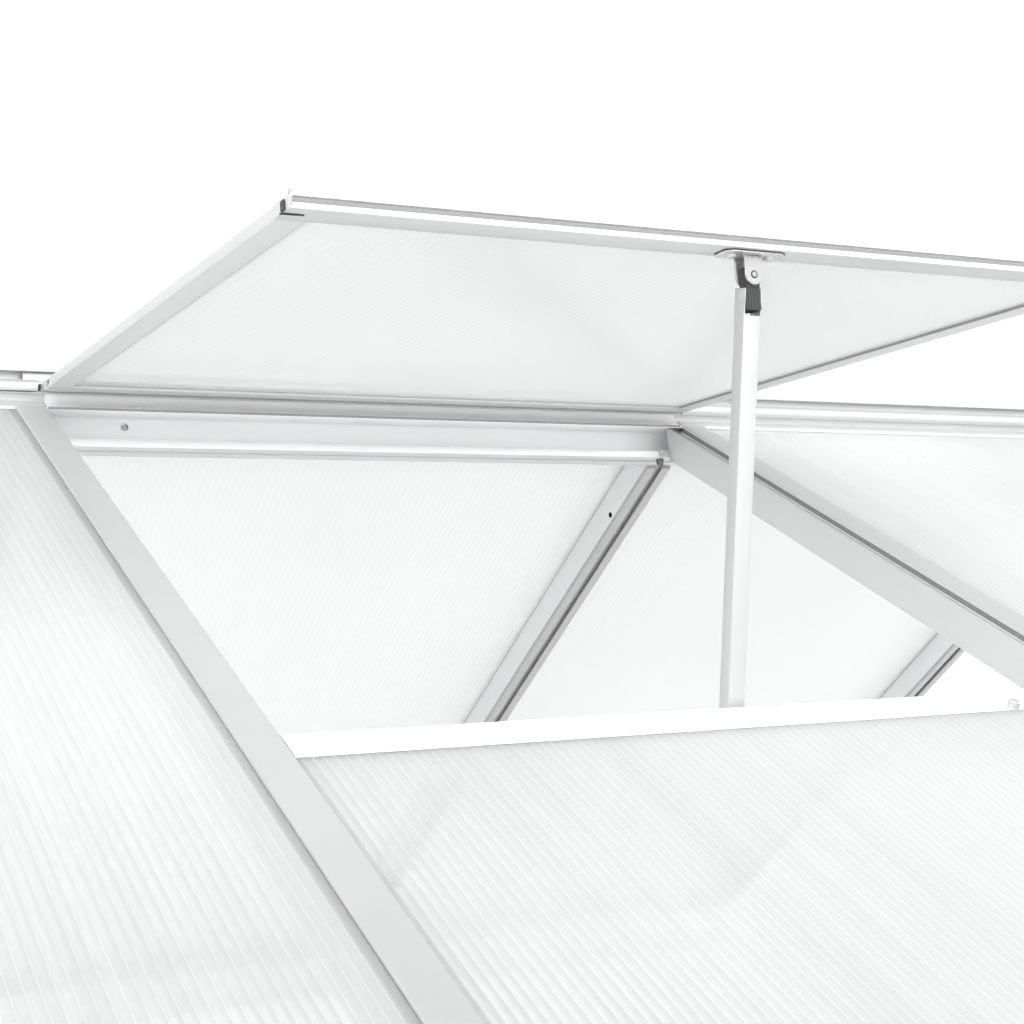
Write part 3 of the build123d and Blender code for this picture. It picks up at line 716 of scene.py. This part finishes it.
# end plates of the free rail with their plugs; the fin takes a dark aluminium grey, painted shade
for k, side in ((-1, "left"), (1, "right")):
    bm = bmesh.new()
    plate = rounded([leaf(s0, h0) for s0, h0 in ((FREE_S0, VENT_BOT), (FREE_S1, VENT_BOT), (FREE_S1, VENT_TOP), (FREE_S0, VENT_TOP))], 0.6)
    add_slab(bm, run_x, plate, k * 300.0, k * 300.7, 0.2)
    fin = rounded([leaf(s0, h0) for s0, h0 in ((557.5, -3.2), (563.4, -3.2), (563.4, 5.4), (561.6, 5.4), (560.6, 3.0), (557.5, 3.0))], 0.5)
    add_slab(bm, run_x, fin, k * 298.9, k * 300.6, 0.3, 1)
    to_object("vent_free_end_" + side, bm, [ALU_L, ALU_E], "vent", None)
    bm = bmesh.new()
    plug = rounded([leaf(s0, h0) for s0, h0 in ((552.0, -4.3), (557.2, -4.3), (557.2, 1.6), (552.0, 1.6))], 0.8)
    add_slab(bm, run_x, plug, k * 300.6, k * 301.8, 0.3)
    add_slab(bm, run_up, rounded([(k * 302.0, 550.6), (k * 288.5, 551.6), (k * 288.5, 552.6), (k * 302.0, 553.2)], 0.3), VENT_BOT, VENT_BOT - 0.7, 0.15)
    to_object("vent_free_plug_" + side, bm, BLACK, "vent", None)

for k, name in ((-1, "left"), (1, "right")):
    o, n = k * VENT_HALF, k * (VENT_HALF - SIDE_W)
    prof = [(o, VENT_BOT), (n, VENT_BOT), (n, SHEET_LO - 0.1), (n + k * GROOVE, SHEET_LO - 0.1), (n + k * GROOVE, SHEET_HI + 0.1), (n, SHEET_HI + 0.1), (n, VENT_TOP), (o, VENT_TOP)]
    bm = bmesh.new()
    add_run(bm, run_leaf, rounded(prof, 0.4), TOPR_S1, FREE_S0)
    to_object("vent_side_rail_%s_skin" % name, bm, ALU_L, "vent", "vent_side_rail_" + name)
    # thin strip along the rail's inner edge, painted dark: painted shade in the gap at the rail's edge
    bm = bmesh.new()
    add_run(bm, run_leaf, [(n, VENT_BOT + 0.2), (n - k * 0.5, VENT_BOT + 0.3), (n - k * 0.5, SHEET_LO), (n, SHEET_LO)], TOPR_S1 + 0.5, FREE_S0 - 0.5)
    to_object("vent_side_shade_strip_" + name, bm, SHADE_SEAL, "vent", None)

# ------------------------------------------------------------------ stay
# pressed bracket on a thin pad, with two ears for the clevis rivet; the ears and the rivet heads take a darker zinc,
# painted shade
bm = bmesh.new()
pad = rounded([(STAY_X - 22.0, 544.5), (STAY_X - 17, 541.5), (STAY_X + 17, 541.5), (STAY_X + 22.0, 544.5), (STAY_X + 22.0, 556.5), (STAY_X + 17, 559.5), (STAY_X - 17, 559.5), (STAY_X - 22.0, 556.5)], 2.5)
add_slab(bm, run_up, inset(pad, 0.25), VENT_BOT - 0.6, VENT_BOT - 1.6, 0.25)
ear_top = VENT_BOT - 1.4
outline = [(STAY_X - 6.9, ear_top), (STAY_X - 6.2, ear_top - 1.6)] + [(STAY_X + 6.2 * math.cos(math.radians(a)), PIN_H + 6.2 * math.sin(math.radians(a))) for a in range(180, 361, 12)] + [(STAY_X + 6.2, ear_top - 1.6), (STAY_X + 6.9, ear_top)]
for s0 in (PIN_S - 5.75, PIN_S + 4.25):
    add_slab(bm, run_leaf, outline, s0, s0 + 1.5, 0.5, 1)
to_object("stay_bracket_pressed", bm, [STEEL, STEEL_E], "vent", "stay_bracket")
bm = bmesh.new()
add_slab(bm, run_up, pad, VENT_BOT, VENT_BOT - 0.6, 0.1)
to_object("stay_bracket_pad", bm, BLACK, "vent", None)
bm = bmesh.new()
for dx in (-13.6, 13.6):
    o = Vector((STAY_X + dx,) + leaf(550.0, VENT_BOT - 1.6))
    add_lathe(bm, [(0, 0), (3.4, 0), (3.4, 0.5), (3.0, 1.2), (2.1, 1.8), (1.4, 2.0), (1.1, 1.2), (0, 1.0)], o, (0, SO, -CO), 24)
to_object("stay_bracket_screws", bm, STEEL, "vent", None)
bm = bmesh.new()
for d in (1, -1):
    o = Vector((STAY_X,) + leaf(PIN_S + d * 5.75, PIN_H))
    ax = Vector((0, -CO, -SO)) * d
    add_lathe(bm, [(0, -0.2), (2.4, -0.2), (2.4, 0.15), (0, 0.15)], o, ax, 24, 1)
    add_lathe(bm, [(0, 0.1), (1.7, 0.1), (1.7, 0.45), (1.3, 0.85), (0.6, 1.0), (0, 1.0)], o, ax, 24, 0)
add_lathe(bm, [(0, -5.75), (2, -5.75), (2, 5.75), (0, 5.75)], Vector((STAY_X,) + PIN), (0, CO, SO), 20, 0)
to_object("stay_bracket_rivet_domed", bm, [STEEL_E, BLACK], "vent", "stay_bracket_rivet")

# moulded knuckle block with flutes down its front
bm = bmesh.new()
add_slab(bm, run_knuckle, rounded([(-4.8, -3.85), (4.8, -3.85), (4.8, 3.85), (-4.8, 3.85)], 0.5), 5.2, -(KNUCKLE - 4.9), 0.35)
flutes = [(-5.3, -4.6), (5.3, -4.6), (5.3, 4.9)]
for c in (3.4, 1.15, -1.15, -3.4):
    flutes += [(c + 0.6, 4.9), (c, 4.4), (c - 0.6, 4.9)]
flutes += [(-5.3, 4.9)]
flutes = [(p0 + TUBE_DX, q0) for p0, q0 in flutes]
add_slab(bm, run_knuckle, flutes, -(KNUCKLE - 5.0), -(KNUCKLE + 8.9), 0.35)
to_object("stay_knuckle_block", bm, BLACK, "knuckle", "stay_knuckle")

# tube: full section below the knuckle, only its side walls beside it
bm = bmesh.new()
box = rounded([(-6, -5.3), (6, -5.3), (6, 5.3), (-6, 5.3)], 0.9, 3)
bore = rounded([(-5, -4.3), (5, -4.3), (5, 4.3), (-5, 4.3)], 0.4)
add_run(bm, run_stay, box, 11.0, STAY_LEN, [bore])
for d in (1, -1):
    wall = rounded([(d * 6, -5.3), (d * 6, 5.3), (d * 5.45, 5.3), (d * 5.45, -5.3)], 0.2)
    add_slab(bm, run_stay, wall, -5.3, 11.0, 0.1)
to_object("stay_tube_square", bm, ALU_S, "stay", "stay_tube")
bm = bmesh.new()
ax = (LEAN.to_3x3() @ Vector((1, 0, 0)))
for d in (1, -1):
    add_lathe(bm, [(0, -0.2), (2.8, -0.2), (2.7, 0.2), (2.0, 0.45), (0, 0.5)], Vector(run_stay(d * 6.0, 0, 0)), ax * d, 24)
add_lathe(bm, [(0, -6), (2, -6), (2, 6), (0, 6)], Vector(run_stay(0, 0, 0)), ax, 20)
to_object("stay_tube_rivet_flat", bm, ALU_S, "stay", "stay_tube_rivet")

# peg on the sill beside the stay's foot
bm = bmesh.new()
add_lathe(bm, [(0, 0), (3.0, 0), (3.0, 1.2), (2.4, 1.6), (2.4, 10.6), (3.0, 11.0), (3.0, 12.3), (2.4, 13.0), (0, 13.0)], Vector((15.5,) + front(SILL_TOP, 16.0)), (0, C, S), 24)
to_object("stay_peg_turned", bm, STEEL, "roof", "stay_peg")

for name in ("vent_stop_left", "vent_stop_right"):
    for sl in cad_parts[name].material_slots:
        sl.material = BLACK

# ------------------------------------------------------------------ fixings
# cleat and bolt at each rafter head under the ridge's lower flange
bm = bmesh.new()
for xc in RAFTER_X:
    d = -1 if xc > 0 else 1
    x = xc + d * 19.5
    for k in (-1, 1):
        clip = [(k * 6.0, APEX - 45.0), (k * 21.2, APEX - 45.0), (k * 21.2, APEX - 52.6), (k * 20.1, APEX - 52.6), (k * 20.1, APEX - 46.0), (k * 6.0, APEX - 46.0)]
        add_slab(bm, run_x, rounded(clip, 0.4), x - 5.4, x + 5.4, 0.2)
    bolt(bm, (x, -12.5, APEX - 52.5), (0, 0, -1), 6.2, 1.5, mat=1, washer=False)
to_object("ridge_fixings", bm, [STEEL, BOLT], "roof", None)
# bolts through the eaves bars at the rafter feet, and one through the sill
bm = bmesh.new()
for xc in RAFTER_X:
    for k in (-1, 1):
        bolt(bm, (xc, k * 905.0, 30.0), (0, -k, 0), 10.0, 2.5)
        add_lathe(bm, [(0, 0), (6.0, 0), (5.6, 1.6), (4.0, 2.8), (0, 3.3)], Vector((xc,) + (front if k < 0 else back)(1086.0, 0.0)), (0, k * S, C), 24)
bolt(bm, (196.5,) + front(632.5, SILL_FACE), (0, -S, C), 7.0, 0.0, washer=False)
to_object("roof_bolts", bm, STEEL, "roof", None)

# ------------------------------------------------------------------ floor and light
bm = bmesh.new()
bmesh.ops.create_grid(bm, x_segments=1, y_segments=1, size=12.0)
me = bpy.data.meshes.new("floor")
bm.to_mesh(me)
bm.free()
floor = bpy.data.objects.new("floor", me)
bpy.context.scene.collection.objects.link(floor)
fm, nt, p = new_mat("pale_floor")
p.inputs["Base Color"].default_value = (0.95, 0.95, 0.95, 1)
p.inputs["Emission Color"].default_value = (1, 1, 1, 1)
p.inputs["Emission Strength"].default_value = 0.34
p.inputs["Roughness"].default_value = 0.9
fm.cycles.emission_sampling = "NONE"
me.materials.append(fm)

world = bpy.data.worlds.new("studio")
bpy.context.scene.world = world
world.use_nodes = True
bg = world.node_tree.nodes["Background"]
bg.inputs["Color"].default_value = (1, 1, 1, 1)
world.cycles.sampling_method = "NONE"
wt = world.node_tree
# a broad soft light low in front, an even one all round
tc = wt.nodes.new("ShaderNodeTexCoord")
dot = wt.nodes.new("ShaderNodeVectorMath")
dot.operation = "DOT_PRODUCT"
dot.inputs[1].default_value = Vector((-0.35, -0.93, 0.10)).normalized()
wt.links.new(tc.outputs["Generated"], dot.inputs[0])
mr = wt.nodes.new("ShaderNodeMapRange")
mr.interpolation_type = "SMOOTHSTEP"
mr.inputs["From Min"].default_value, mr.inputs["From Max"].default_value = 0.0, 0.95
mr.inputs["To Min"].default_value, mr.inputs["To Max"].default_value = 1.05, 3.5
wt.links.new(dot.outputs["Value"], mr.inputs["Value"])
sep = wt.nodes.new("ShaderNodeSeparateXYZ")
wt.links.new(tc.outputs["Generated"], sep.inputs[0])
top = wt.nodes.new("ShaderNodeMapRange")
top.interpolation_type = "SMOOTHSTEP"
top.inputs["From Min"].default_value, top.inputs["From Max"].default_value = 0.45, 0.9
top.inputs["To Min"].default_value, top.inputs["To Max"].default_value = 1.0, 0.40
wt.links.new(sep.outputs["Z"], top.inputs["Value"])
both = wt.nodes.new("ShaderNodeMath")
both.operation = "MULTIPLY"
wt.links.new(mr.outputs["Result"], both.inputs[0])
wt.links.new(top.outputs["Result"], both.inputs[1])
wt.links.new(both.outputs["Value"], bg.inputs["Strength"])

# ------------------------------------------------------------------ camera
yaw, pitch, roll = math.radians(28.08), math.radians(8.28), math.radians(-4.26)
fwd = Vector((math.sin(yaw) * math.cos(pitch), math.cos(yaw) * math.cos(pitch), math.sin(pitch)))
rgt = Vector((math.cos(yaw), -math.sin(yaw), 0))
upv = rgt.cross(fwd)
r2 = rgt * math.cos(roll) + upv * math.sin(roll)
u2 = -rgt * math.sin(roll) + upv * math.cos(roll)
cam_data = bpy.data.cameras.new("photo_camera")
cam_data.sensor_fit, cam_data.sensor_width = "HORIZONTAL", 36.0
cam_data.lens = 1763.2 * 36.0 / 1024
cam_data.clip_start, cam_data.clip_end = 0.02, 60
cam = bpy.data.objects.new("photo_camera", cam_data)
cam.matrix_world = Matrix((
    (r2.x, u2.x, -fwd.x, -0.61958),
    (r2.y, u2.y, -fwd.y, -1.41104),
    (r2.z, u2.z, -fwd.z, 0.28527),
    (0, 0, 0, 1)))
bpy.context.scene.collection.objects.link(cam)
bpy.context.scene.camera = cam
bpy.context.scene.view_settings.view_transform = "Standard"
bpy.context.scene.view_settings.look = "None"
cyc = bpy.context.scene.cycles
cyc.transparent_max_bounces, cyc.max_bounces, cyc.diffuse_bounces, cyc.glossy_bounces = 20, 5, 3, 3
